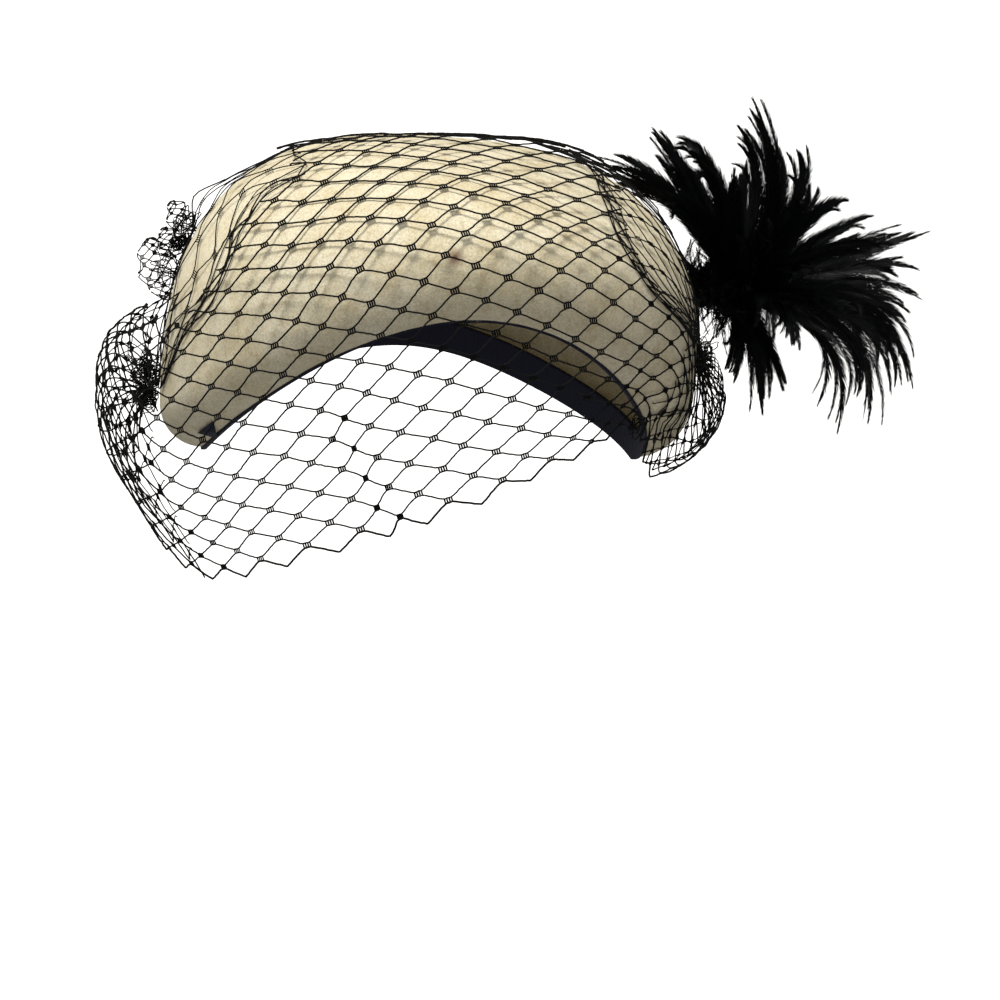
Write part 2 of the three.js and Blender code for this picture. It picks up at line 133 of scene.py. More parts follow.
def make_mesh(name, shape, material, node):
    """One smooth mesh from points (n, 3) and a list of face arrays of 3, 4 or more corners."""
    points, faces = shape
    mesh = bpy.data.meshes.new(name)
    mesh.vertices.add(len(points))
    mesh.vertices.foreach_set("co", points.astype(np.float32).ravel())
    corners = np.concatenate([np.asarray(part).ravel() for part in faces]).astype(np.int32)
    sizes = np.concatenate([np.full(len(part), part.shape[1]) for part in faces])
    starts = np.concatenate([[0], np.cumsum(sizes)[:-1]]).astype(np.int32)
    mesh.loops.add(len(corners))
    mesh.loops.foreach_set("vertex_index", corners)
    mesh.polygons.add(len(sizes))
    mesh.polygons.foreach_set("loop_start", starts)
    mesh.polygons.foreach_set("use_smooth", np.ones(len(sizes), dtype=bool))
    mesh.update(calc_edges=True)
    if mesh.validate():
        raise RuntimeError(f"{name} has broken faces")
    mesh.materials.append(material)
    piece = bpy.data.objects.new(name, mesh)
    bpy.context.scene.collection.objects.link(piece)
    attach(piece, "root")
    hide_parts(node)
    return piece


def grid_faces(rows, columns, closed_rows=False, closed_columns=False):
    """Quads over a grid of rows x columns points, joined round where it is closed."""
    row = np.arange(rows if closed_rows else rows - 1)[:, None]
    column = np.arange(columns if closed_columns else columns - 1)[None, :]
    next_row = (row + 1) % rows
    next_column = (column + 1) % columns
    quad = [
        row * columns + column,
        row * columns + next_column,
        next_row * columns + next_column,
        next_row * columns + column,
    ]
    return np.stack(np.broadcast_arrays(*quad), -1).reshape(-1, 4)


def oval_radius(angle, width, front, back):
    """Distance from the axis to an oval whose front and back halves have their own depth."""
    depth = np.where(np.sin(angle) < 0, front, back)
    return 1 / np.hypot(np.cos(angle) / width, np.sin(angle) / depth)


def outer_oval(angle, offset=0.0):
    """The crown's widest ring, run offset outside it."""
    return oval_radius(angle, HALF_WIDTH + offset, FRONT_DEPTH + offset, BACK_DEPTH + offset)


def rim_oval(angle, offset=0.0):
    """The turned-under rim's edge, run offset outside it."""
    return oval_radius(
        angle, RIM_HALF_WIDTH + offset, RIM_FRONT_DEPTH + offset, RIM_BACK_DEPTH + offset
    )


def crown_levels(angle):
    """Rim height, height of the widest ring and profile exponent at a plan angle.

    The rim rises as |sin|^1.3 to an arch at the front and a lower one at the back. The
    other two blend from their front or back value to the side's by cos^2.
    """
    is_front = np.sin(angle) < 0
    side = np.cos(angle) ** 2
    rim = np.where(is_front, FRONT_ARCH, BACK_ARCH) * np.abs(np.sin(angle)) ** ARCH_EXPONENT
    widest = rim + mix(np.where(is_front, FRONT_ROLL, BACK_ROLL), SIDE_ROLL, side)
    exponent = mix(np.where(is_front, FRONT_EXPONENT, BACK_EXPONENT), SIDE_EXPONENT, side)
    return rim, widest, exponent


def crown_point(angle, rise):
    """The felt's outer face: a quarter ellipse from the rim out to the widest ring for the
    first quarter of rise, then a superellipse up to the top."""
    rim, widest, exponent = crown_levels(angle)
    outer, inner = outer_oval(angle), rim_oval(angle)
    low = np.clip(rise / ROLL_SHARE, 0, 1) * math.pi / 2
    high = np.clip((rise - ROLL_SHARE) / (1 - ROLL_SHARE), 0, 1) * math.pi / 2
    power = 2 / exponent
    under = rise < ROLL_SHARE
    dome = outer * np.maximum(np.cos(high), 0) ** power
    radius = np.where(under, inner + (outer - inner) * np.sin(low), dome)
    roll = widest - (widest - rim) * np.cos(low)
    height = np.where(under, roll, widest + (CROWN_HEIGHT - widest) * np.sin(high) ** power)
    return np.stack([radius * np.cos(angle), radius * np.sin(angle), height], -1)


def crown_normal(angle, rise):
    """Outward normal of the felt's face, from the cross product of its two slopes."""
    step = 1e-3
    low, high = np.maximum(rise - step, 0), np.minimum(rise + step, 1 - step)
    round_ = crown_point(angle + step, rise) - crown_point(angle - step, rise)
    up = crown_point(angle, high) - crown_point(angle, low)
    return unit(np.cross(round_, up))


def waves(points, length, seed):
    """A smooth bumpy field from -1 to 1: a mean of eight sine waves of about that length."""
    random = np.random.default_rng(seed)
    total = np.zeros(points.shape[:-1])
    count = 8
    for _ in range(count):
        direction = unit(random.normal(size=3))
        stretch = random.uniform(0.7, 1.5)
        phase = random.uniform(0, 2 * math.pi)
        total += np.sin(points @ direction * (2 * math.pi / (length * stretch)) + phase)
    return total / count


def felt_points(angle, rise, wall):
    """The felt's outer face with its slight unevenness, its inner face, and the round edge
    between them at the rim, from the top outside to the top inside."""
    face = crown_point(angle, rise)
    normal = crown_normal(angle, rise)
    uneven = sum(
        height * MM * waves(face, length * MM, seed) for height, length, seed in FELT_WAVES
    )
    outside = face + normal * uneven[..., None]
    inside = face - normal * wall
    edge_turn = np.linspace(0, math.pi, 8)[1:-1, None, None]
    down = unit(crown_point(angle[:1], rise[:1]) - crown_point(angle[:1], rise[:1] + 0.01))
    middle = (outside[:1] + inside[:1]) / 2
    half = (outside[:1] - inside[:1]) / 2
    edge = middle + half * np.cos(edge_turn) + down * np.sin(edge_turn) * wall / 2
    return outside[::-1], edge, inside


def nap_shape(length, count, seed):
    """Loose felt fibres: needles of one triangle that lean over the felt's face at random."""
    random = np.random.default_rng(seed)
    angle = random.uniform(-math.pi, math.pi, count)
    rise = random.uniform(0.02, 0.96, count)
    root = crown_point(angle, rise)
    normal = crown_normal(angle, rise)
    lean = unit(random.normal(size=(count, 3)))
    tip = root + unit(normal * 0.6 + lean) * (length * random.uniform(0.4, 1.2, count))[:, None]
    side = unit(np.cross(normal, lean)) * 0.035 * MM
    points = np.stack([root - side, root + side, tip], 1).reshape(-1, 3)
    return points, [np.arange(count * 3).reshape(-1, 3)]


def push_out(points, offset):
    """Points in the felt or in the hollow under it go out of them along rays from the axis.

    Everything below the rim is free.
    """
    centre = np.array([0, 0, SIDE_ROLL])
    ray = points - centre

    def inside(scale):
        probe = centre + ray * scale[..., None]
        angle = np.arctan2(probe[..., 1], probe[..., 0])
        height = probe[..., 2]
        rim, widest, exponent = crown_levels(angle)
        outer, inner = outer_oval(angle, offset), rim_oval(angle, offset)
        radius = np.hypot(probe[..., 0], probe[..., 1])
        share = np.minimum(radius / outer, 1)
        lift = (1 - share**exponent) ** (1 / exponent)
        under_dome = (share < 1) & (height < widest + (CROWN_HEIGHT + offset - widest) * lift)
        drop = np.clip((widest - height) / (widest - rim + offset), 0, 1)
        in_roll = radius < inner + (outer - inner) * np.sqrt(1 - drop**2)
        return under_dome & in_roll & (drop < 1)

    low = np.ones(points.shape[:-1])
    high = np.full_like(low, PUSH_LIMIT)
    moved = inside(low)
    for _ in range(PUSH_STEPS):
        middle = (low + high) / 2
        is_in = inside(middle)
        low = np.where(is_in, middle, low)
        high = np.where(is_in, high, middle)
    return np.where(moved[..., None], centre + ray * high[..., None], points)


# Sections of the veil, from the wearer's left round the face to the wearer's right. Each
# section's rows run from the lower selvedge to the upper edge at even steps of the net's
# width: across, forward and up, as shares of HALF_WIDTH, FRONT_DEPTH and CROWN_HEIGHT.
VEIL_SECTIONS = {
    "left_gather": [
        (1.04, 0.07, 0.32), (1.04, 0.10, 0.34), (1.04, 0.12, 0.36),
        (1.04, 0.11, 0.38), (1.02, 0.07, 0.41), (1.02, -0.02, 0.44),
    ],
    "left_pouf": [
        (1.15, -0.10, 0.02), (1.21, -0.06, 0.15), (1.18, 0.00, 0.28),
        (1.07, 0.12, 0.41), (1.00, 0.10, 0.48), (1.01, -0.07, 0.53),
    ],
    "left_bag": [
        (0.85, 0.22, -0.02), (1.01, 0.24, 0.08), (1.05, 0.27, 0.25),
        (0.96, 0.30, 0.44), (0.92, 0.22, 0.57), (0.94, -0.07, 0.67),
    ],
    "left_corner": [
        (0.65, 0.61, 0.22), (0.76, 0.61, 0.42), (0.79, 0.56, 0.62),
        (0.77, 0.44, 0.75), (0.73, 0.27, 0.84), (0.78, -0.12, 0.86),
    ],
    "left_front": [
        (0.35, 0.93, 0.19), (0.47, 0.93, 0.47), (0.54, 0.82, 0.74),
        (0.50, 0.66, 0.93), (0.42, 0.34, 1.02), (0.46, -0.17, 0.99),
    ],
    "centre": [
        (-0.02, 1.06, 0.07), (-0.04, 1.06, 0.40), (-0.06, 1.02, 0.73),
        (-0.07, 0.66, 0.93), (-0.08, 0.17, 1.02), (-0.05, -0.45, 0.97),
    ],
    "right_front": [
        (-0.54, 1.02, -0.10), (-0.60, 0.94, 0.19), (-0.66, 0.83, 0.47),
        (-0.64, 0.68, 0.75), (-0.56, 0.29, 0.95), (-0.52, -0.27, 0.94),
    ],
    "right_corner": [
        (-0.86, 0.61, -0.27), (-0.99, 0.57, -0.03), (-1.06, 0.46, 0.26),
        (-0.92, 0.46, 0.57), (-0.82, 0.17, 0.80), (-0.76, -0.20, 0.86),
    ],
    "right_billow": [
        (-1.03, 0.00, -0.25), (-1.20, 0.06, 0.02), (-1.21, 0.06, 0.33),
        (-1.00, 0.00, 0.51), (-0.93, -0.07, 0.69), (-0.88, -0.17, 0.78),
    ],
    "right_back": [
        (-1.06, -0.37, -0.14), (-1.18, -0.34, 0.07), (-1.14, -0.32, 0.26),
        (-1.00, -0.15, 0.47), (-0.94, -0.15, 0.63), (-0.89, -0.20, 0.75),
    ],
    "right_gather": [
        (-1.04, -0.24, 0.12), (-1.04, -0.21, 0.14), (-1.04, -0.17, 0.18),
        (-1.01, -0.12, 0.47), (-0.95, -0.15, 0.62), (-0.89, -0.20, 0.75),
    ],
}


def spline(points, share):
    """Uniform Catmull-Rom curve through the points of axis 0, its ends mirrored."""
    count = len(points) - 1
    span = np.minimum(np.floor(share * count).astype(int), count - 1)
    t = (share * count - span).reshape((-1,) + (1,) * (points.ndim - 1))
    before, after = 2 * points[:1] - points[1:2], 2 * points[-1:] - points[-2:-1]
    padded = np.concatenate([before, points, after])
    a, b, c, d = (padded[span + step] for step in range(4))
    return 0.5 * (
        2 * b + (c - a) * t + (2 * a - 5 * b + 4 * c - d) * t**2 + (3 * b - a - 3 * c + d) * t**3
    )


class Drape:
    """The surface that a net lies on, walked by real length along the net's lines.

    Its lines run from gather to gather, one for each share of the net's width. They are
    splines along the sections, kept clear of the felt, and stand off it by up to stand_off
    more, as sin^2 over the first NET_BULGE of the width. place(distance, width) is the point
    at a signed distance along a line from the plane where all lines start counting, or from
    the lines' first ends.
    """

    lines = 103
    samples = 361
    step = 1 * MM

    def __init__(self, sections, clearance, stand_off=0.0, centred=True):
        scale = np.array([HALF_WIDTH, -FRONT_DEPTH, CROWN_HEIGHT])
        table = np.array(list(sections.values()), float) * scale
        rows = spline(table.swapaxes(0, 1), np.linspace(0, 1, self.lines))
        paths = spline(rows.swapaxes(0, 1), np.linspace(0, 1, self.samples)).swapaxes(0, 1)
        line = np.linspace(0, 1, self.lines)[:, None]
        bulge = np.sin(math.pi * np.minimum(line / NET_BULGE, 1)) ** 2
        paths = push_out(paths, clearance + stand_off * bulge)
        steps = np.linalg.norm(np.diff(paths, axis=1), axis=-1)
        length = np.concatenate([np.zeros((self.lines, 1)), np.cumsum(steps, 1)], 1)
        pick = np.arange(self.lines)
        middle = np.zeros(self.lines)
        if centred:
            side = paths[..., 0] * math.cos(NET_LEAN)
            side = side + (paths[..., 2] - FRONT_ARCH) * math.sin(NET_LEAN)
            first = np.argmax(side <= 0, axis=1)
            before, after = side[pick, first - 1], side[pick, first]
            share = before / (before - after)
            middle = mix(length[pick, first - 1], length[pick, first], share)
        self.folds = None
        self.start = -middle
        self.end = length[:, -1] - middle
        reach = np.arange(self.start.min(), self.end.max() + self.step, self.step)
        self.low = reach[0]
        self.table = np.stack([
            np.stack([np.interp(reach + middle[line], length[line], paths[line, :, axis])
                      for axis in range(3)], -1)
            for line in range(self.lines)
        ])

    def limits(self, width):
        """Distances at which the line at that width starts and ends, or meets a fold."""
        share = np.linspace(0, 1, self.lines)
        low, high = np.interp(width, share, self.start), np.interp(width, share, self.end)
        if self.folds:
            first, last = self.folds
            low = np.maximum(low, np.interp(width, *first))
            high = np.minimum(high, np.interp(width, *last))
        return low, high

    def edge(self):
        """Points across its first ends in a zigzag, from the last line to the first, and down
        that line."""
        width = np.linspace(1, 0, 31)
        zigzag = 3 * MM * np.abs((width * 5) % 2 - 1)
        across = self.place(self.limits(width)[0] + zigzag, width)
        low, high = self.limits(0.0)
        return np.concatenate([across, self.place(mix(low, high, np.linspace(0, 1, 60)), 0.0)])

    def fold_at(self, edge, first, side):
        """Where the net meets another's edge: widths from first up, and distances, taken at
        the nearest points of this net to each point of the edge within FOLD_REACH, and then
        run FOLD_OVERRUN on. Below first the net isn't folded."""
        near = np.linalg.norm(self.table[None, :, ::2] - edge[:, None, None], axis=-1)
        pick = near.reshape(len(edge), -1).argmin(1)
        line, step = np.unravel_index(pick, near.shape[1:])
        width = line / (self.lines - 1)
        distance = self.low + 2 * step * self.step
        close = (near.reshape(len(edge), -1).min(1) < FOLD_REACH) & (width >= first)
        levels = np.arange(first, 1, 0.04)
        band = np.abs(width[None] - levels[:, None]) < 0.045
        found = [(level, np.median(distance[row & close]))
                 for level, row in zip(levels, band) if (row & close).any()]
        width, distance = np.array(found).T
        distance = distance + side * FOLD_OVERRUN
        return (np.concatenate([[first - 0.01], width]),
                np.concatenate([[side * 1.0], distance]))

    def squeeze(self, distance, width):
        """How far the net has slipped towards its crease: a tanh step of up to CREASE_SLIP
        over CREASE_SPAN to each side, fading out up the net and CREASE_REACH away."""
        if not self.folds:
            return 0.0 * distance
        away = distance - np.interp(width, *CREASE)
        fade = smooth((0.3 - width) / 0.1) * np.exp(-((away / CREASE_REACH) ** 2))
        return -CREASE_SLIP * np.tanh(away / CREASE_SPAN) * fade

    def place(self, distance, width):
        """Bilinear look-up in the table of points."""
        u = np.clip((distance - self.low) / self.step, 0, self.table.shape[1] - 1.001)
        v = np.clip(width * (self.lines - 1), 0, self.lines - 1.001)
        i, j = np.floor(v).astype(int), np.floor(u).astype(int)
        s, t = (v - i)[..., None], (u - j)[..., None]
        low = mix(self.table[i, j], self.table[i, j + 1], t)
        high = mix(self.table[i + 1, j], self.table[i + 1, j + 1], t)
        return mix(low, high, s)

    def normal(self, distance, width):
        """Across times along, from points a little to each side."""
        along = self.place(distance + 2 * MM, width) - self.place(distance - 2 * MM, width)
        across = self.place(distance, np.minimum(width + 0.015, 1)) - self.place(
            distance, np.maximum(width - 0.015, 0)
        )
        return unit(np.cross(along, across))


def sweep(paths, radii, sides, facing=None):
    """Tubes: a ring of that many sides carried along each path, with flat ends.

    paths is (tubes, stations, 3) and radii (tubes, stations). Returns points and faces.
    """
    tubes, stations = paths.shape[:2]
    ahead = unit(np.gradient(paths, axis=1))
    if facing is None:
        facing = np.broadcast_to([0.31, 0.57, 0.76], paths.shape)
    sideways = unit(np.cross(ahead, facing))
    through = np.cross(sideways, ahead)
    turn = np.arange(sides) * 2 * math.pi / sides
    ring = (
        sideways[:, :, None] * np.cos(turn)[:, None] + through[:, :, None] * np.sin(turn)[:, None]
    )
    points = paths[:, :, None] + ring * radii[:, :, None, None]
    wall = grid_faces(stations, sides, closed_columns=True)
    offsets = (np.arange(tubes) * stations * sides)[:, None, None]
    walls = (wall + offsets).reshape(-1, 4)
    start = np.arange(sides)[::-1] + offsets[:, :, 0]
    end = np.arange(sides) + (stations - 1) * sides + offsets[:, :, 0]
    return points.reshape(-1, 3), [walls, start, end]


def join(parts):
    """Points and faces of several shapes as one shape's."""
    points = []
    faces = []
    total = 0
    for part_points, part_faces in parts:
        points.append(part_points)
        faces += [face + total for face in part_faces]
        total += len(part_points)
    return np.concatenate(points), faces


class Puff:
    """An ellipsoid with a wavy skin for a net to lie on, walked as a Drape is: distance runs
    round its axis, which lies along lean, and width from one pole to the other."""

    def __init__(self, centre, size, lean):
        self.centre = np.array(centre) * MM
        self.size = np.array(size) * MM
        self.reach = math.pi * self.size[:2].mean()
        turn = math.radians(lean)
        self.axes = np.array([
            [math.cos(turn), 0, math.sin(turn)], [0, 1, 0], [-math.sin(turn), 0, math.cos(turn)]
        ])

    def limits(self, width):
        """Once round, whatever the width."""
        return np.full(np.shape(width), -self.reach), np.full(np.shape(width), self.reach)

    def squeeze(self, distance, width):
        """No crease."""
        return 0.0 * distance

    def normal(self, distance, width):
        """Away from the axis and the middle."""
        turn = distance / self.reach * math.pi
        rise = (width - 0.5) * math.pi * 0.96
        out = [np.cos(rise) * np.cos(turn), np.cos(rise) * np.sin(turn), np.sin(rise)]
        return np.stack(out, -1) @ self.axes

    def place(self, distance, width):
        """The ellipsoid's skin with waves of 1.5 mm on it."""
        out = self.normal(distance, width) @ self.axes.T * self.size @ self.axes
        wave = 1.5 * MM * waves(self.centre + out, 9 * MM, 7)
        return self.centre + out + unit(out) * wave[..., None]


def everywhere(distance, width):
    """Keeps all of a net."""
    return True


def net_shape(
    drape, sizes, cell, half_rows, keep=everywhere, slant=0.0, stations=6, thin=0.7
):
    """Knotted net on a drape: threads between knots of two rails and four bars.

    Knots stand at every other crossing of half_rows rows and of columns half a cell apart,
    each row slant further on than the one before. cell is a mesh's length and height, and
    thin the thread's share of its full diameter.
    keep(distance, width) says which threads and knots belong to this piece.
    """
    half = cell[0] / 2
    rail = min(sizes.knot_length, KNOT_SHARE * cell[0]) / 2
    gap = min(sizes.knot_height, KNOT_SHARE * cell[1]) / (half_rows * cell[1])
    thread = sizes.thread * thin / 2
    reach = int(NET_REACH / half)
    column, row = np.meshgrid(np.arange(-reach, reach + 1), np.arange(half_rows + 1))
    even = (column + row) % 2 == 0
    column, row = column[even], row[even]
    random = np.random.default_rng(NET_SEED)
    slip = random.normal(0, NET_SLIP * cell[0], (2, half_rows + 1, 2 * reach + 3))

    def wander(column_, row_, which):
        return slip[which, np.clip(row_, 0, half_rows), np.clip(column_ + reach, 0, 2 * reach + 2)]

    parts = []
    for climb in (1, -1):
        ahead = (row + climb >= 0) & (row + climb <= half_rows)
        line, col = row[ahead], column[ahead]
        start = col * half + line * slant
        span = half + climb * slant
        low, high = drape.limits((line + climb / 2) / half_rows)
        t_low = np.clip((low - start) / span, 0, 1)
        t_high = np.clip((high - start) / span, 0, 1)
        kept = (t_high - t_low > 0.1) & keep(start + span / 2, (line + climb / 2) / half_rows)
        start, line, col = start[kept], line[kept], col[kept]
        t = np.linspace(0, 1, stations)
        share = mix(t_low[kept][:, None], t_high[kept][:, None], t)
        on_edge = (line == 0) | (line == half_rows)
        to_edge = (line + climb == 0) | (line + climb == half_rows)
        leave = np.where(on_edge, 0, rail / half)[:, None]
        arrive = np.where(to_edge, 0, rail / half)[:, None]
        run = np.clip((share - leave) / (1 - leave - arrive), 0, 1)
        curve = mix(run, smooth(run), 0.06)
        begin = line / half_rows + np.where(on_edge, 0, climb * gap)
        finish = (line + climb) / half_rows - np.where(to_edge, 0, climb * gap)
        width = mix(begin[:, None], finish[:, None], curve)
        first, last = wander(col, line, 0), wander(col + 1, line + climb, 0)
        distance = start[:, None] + share * span + mix(first[:, None], last[:, None], share)
        first, last = wander(col, line, 1), wander(col + 1, line + climb, 1)
        lift = np.abs(mix(first[:, None], last[:, None], share))
        kink = random.normal(0, NET_KINK, (2, *share.shape))
        width = width + kink[0] / (half_rows * cell[1] / 2)
        distance = distance + drape.squeeze(distance, width)
        normal = drape.normal(distance, width)
        path = drape.place(distance, width) + normal * (lift + np.abs(kink[1]))[..., None]
        weight = np.where(on_edge | to_edge, SELVEDGE_WEIGHT, 1.0)[:, None] * thread
        parts.append(sweep(path, np.broadcast_to(weight, path.shape[:2]), 5, normal))
    inner = (row > 0) & (row < half_rows)
    line, col = row[inner], column[inner]
    start = col * half + line * slant
    low, high = drape.limits(line / half_rows)
    kept = (start > low + rail + KNOT_MARGIN) & (start < high - rail - KNOT_MARGIN)
    kept = kept & keep(start, line / half_rows)
    start, line, col = start[kept], line[kept], col[kept]
    bars = np.linspace(-1, 1, 4)
    distance = (start + wander(col, line, 0))[:, None] + bars * rail * 0.9
    width = np.broadcast_to((line / half_rows)[:, None], distance.shape)
    distance = distance + drape.squeeze(distance, width)
    normal = drape.normal(distance, width)
    lift = np.abs(wander(col, line, 1))[:, None, None]
    ends = [
        drape.place(distance, width + side * gap * 1.2) + normal * (lift + thread * 0.5)
        for side in (-1, 1)
    ]
    path = np.stack(ends, 2).reshape(-1, 2, 3)
    facing = np.repeat(normal.reshape(-1, 1, 3), 2, 1)
    parts.append(sweep(path, np.full(path.shape[:2], thread), 4, facing))
    return join(parts)


def fold_cords(drape, sizes, count, seed):
    """Threads that run down a fold, each weaving over the first few percent of the width."""
    random = np.random.default_rng(seed)
    low, high = drape.limits(0.0)
    share = np.linspace(0, 1, 60)[None]
    wave = np.sin(share * random.uniform(9, 22, (count, 1)) + random.uniform(0, 6.28, (count, 1)))
    width = np.linspace(0.0, 0.08, count)[:, None] + 0.03 * (1 + wave)
    path = drape.place(mix(low, high, share), width)
    path = path + drape.normal(mix(low, high, share), width) * 0.4 * MM
    taper = np.broadcast_to(mix(0.05, 0.33, smooth(share / 0.2)), path.shape[:2])
    edge = drape.edge()[None]
    return join([
        sweep(path, sizes.thread * taper, 4),
        sweep(edge, np.full(edge.shape[:2], sizes.thread * 0.4), 5),
    ])


def tangle(centre, size, loops, radius, thread, seed):
    """Bunched net: looped threads scribbled through an ellipsoid, as wavy ellipses of
    random tilt whose centres lie in it."""
    random = np.random.default_rng(seed)
    turn = np.linspace(0, 2 * math.pi, 19)[:-1]
    first = unit(random.normal(size=(loops, 3)))
    second = unit(np.cross(first, random.normal(size=(loops, 3))))
    middle = centre + random.normal(size=(loops, 3)).clip(-1.6, 1.6) * size * 0.4
    long_, short = radius * random.uniform(0.6, 1.3, (2, loops, 1, 1))
    wobble = 1 + 0.22 * np.sin(3 * turn[None] + random.uniform(0, 6.28, (loops, 1)))
    path = (
        middle[:, None]
        + long_ * first[:, None] * (np.cos(turn)[None] * wobble)[..., None]
        + short * 0.6 * second[:, None] * (np.sin(turn)[None] * wobble)[..., None]
    )
    closed = np.concatenate([path, path[:, :1]], 1)
    return sweep(closed, np.full(closed.shape[:2], thread / 2), 4)


# Locks of feathers, in groups: the point half way along each lock and its tip, in mm
FEATHER_LOCKS = {
    "over the shoulder": [
        (87, 12, 97, 56, 24, 109), (86, 4, 96, 57, 8, 108), (91, 28, 97, 71, 40, 109),
        (87, -4, 93, 68, -8, 102),
    ],
    "upper left": [
        (95, 16, 101, 78, 20, 122), (97, 28, 97, 81, 34, 116), (99, 4, 106, 80, 0, 122),
        (96, -8, 104, 80, -14, 120), (108, 40, 95, 97, 52, 110),
    ],
    "short upper": [
        (104, -8, 94, 97, -20, 113), (120, 24, 90, 122, 32, 107),
    ],
    "tall": [
        (122, 18, 102, 112, 20, 125), (125, 10, 103, 111, 8, 134), (123, 0, 103, 109, -6, 137),
        (139, 34, 92, 139, 46, 116),
    ],
    "upper right": [
        (135, 10, 96, 134, 10, 119), (126, -10, 92, 126, -22, 110), (145, 28, 85, 154, 34, 101),
        (139, 4, 92, 151, 0, 103),
    ],
    "right": [
        (154, 20, 84, 176, 24, 93), (166, 36, 77, 199, 46, 87), (156, 6, 77, 189, 4, 92),
        (157, 0, 76, 183, -8, 78), (166, 16, 68, 198, 16, 62), (152, -12, 69, 175, -22, 61),
        (140, -16, 85, 157, -34, 92),
    ],
    "lower right": [
        (168, 4, 63, 190, 0, 42), (175, 14, 54, 202, 16, 24), (161, -4, 56, 177, -14, 29),
        (168, 8, 47, 186, 4, 11), (152, -14, 53, 162, -26, 26), (160, 12, 42, 170, 10, 5),
        (179, 32, 53, 208, 42, 25),
    ],
    "lower": [
        (128, -2, 43, 134, -8, 28), (128, 10, 37, 133, 8, 14), (116, -4, 45, 113, -10, 32),
        (123, 20, 42, 123, 24, 28), (138, 26, 36, 148, 36, 13),
    ],
    "front": [
        (114, -24, 67, 108, -48, 59), (120, -28, 79, 117, -50, 81), (106, -22, 80, 93, -42, 92),
        (104, -14, 67, 94, -32, 68), (121, -26, 65, 121, -42, 55), (112, -22, 86, 104, -42, 100),
        (129, -20, 69, 135, -40, 71),
    ],
    "back": [
        (139, 48, 77, 152, 76, 90), (157, 50, 65, 186, 76, 62), (154, 48, 46, 174, 72, 26),
        (135, 46, 46, 139, 62, 27), (122, 42, 72, 120, 62, 78), (160, 42, 77, 187, 62, 86),
        (165, 44, 50, 193, 62, 33), (133, 50, 63, 142, 80, 61),
    ],
}


def feather_paths(per_lock, seed):
    """Shafts: quadratic curves from the core through each lock's middle to scattered tips.

    The bend that a curve needs to pass the middle is 2 middle - (base + tip) / 2.
    """
    random = np.random.default_rng(seed)
    rows = np.concatenate([np.array(group, float) for group in FEATHER_LOCKS.values()]) * MM
    locks = np.repeat(rows, per_lock, 0)
    count = len(locks)
    lead = np.tile(np.arange(per_lock) == 0, len(rows))
    scatter = random.normal(size=(count, 3)) * np.where(lead, 0.5, 2.1)[:, None] * MM
    shrink = np.where(lead, 0.95, random.uniform(0.7, 0.94, count))[:, None]
    core = CORE + (locks[:, :3] - CORE) * 0.12 + random.normal(size=(count, 3)) * 2.5 * MM
    middle = mix(core, locks[:, :3], mix(1, shrink, 0.5)) + scatter * 0.5
    tip = mix(core, locks[:, 3:], shrink) + scatter
    return core, 2 * middle - (core + tip) / 2, tip


def fluff_paths(count, seed):
    """Short soft feathers out of every side of the core and of the stem's binding."""
    random = np.random.default_rng(seed)
    along = random.uniform(0, 1, (count, 1))
    base = mix(np.array([HALF_WIDTH + 2 * MM, CORE[1], CORE[2] + 2 * MM]), CORE, along)
    base = base + random.normal(size=(count, 3)) * 3 * MM
    out = unit(random.normal(size=(count, 3)) + [0.25, 0, 0])
    reach = random.uniform(11, 21, (count, 1)) * MM * mix(0.85, 1.15, along)
    tip = base + out * reach
    tip[:, 0] = np.maximum(tip[:, 0], HALF_WIDTH - 6 * MM)
    return base, mix(base, tip, 0.5) + random.normal(size=(count, 3)) * 2.5 * MM, tip


def bezier(base, bend, tip, t):
    """Points and slopes of quadratic curves at shares t; the arrays get a station axis."""
    t = t[..., None]
    a, b, c = base[:, None], bend[:, None], tip[:, None]
    point = a * (1 - t) ** 2 + b * 2 * t * (1 - t) + c * t**2
    slope = (b - a) * 2 * (1 - t) + (c - b) * 2 * t
    return point, unit(slope)


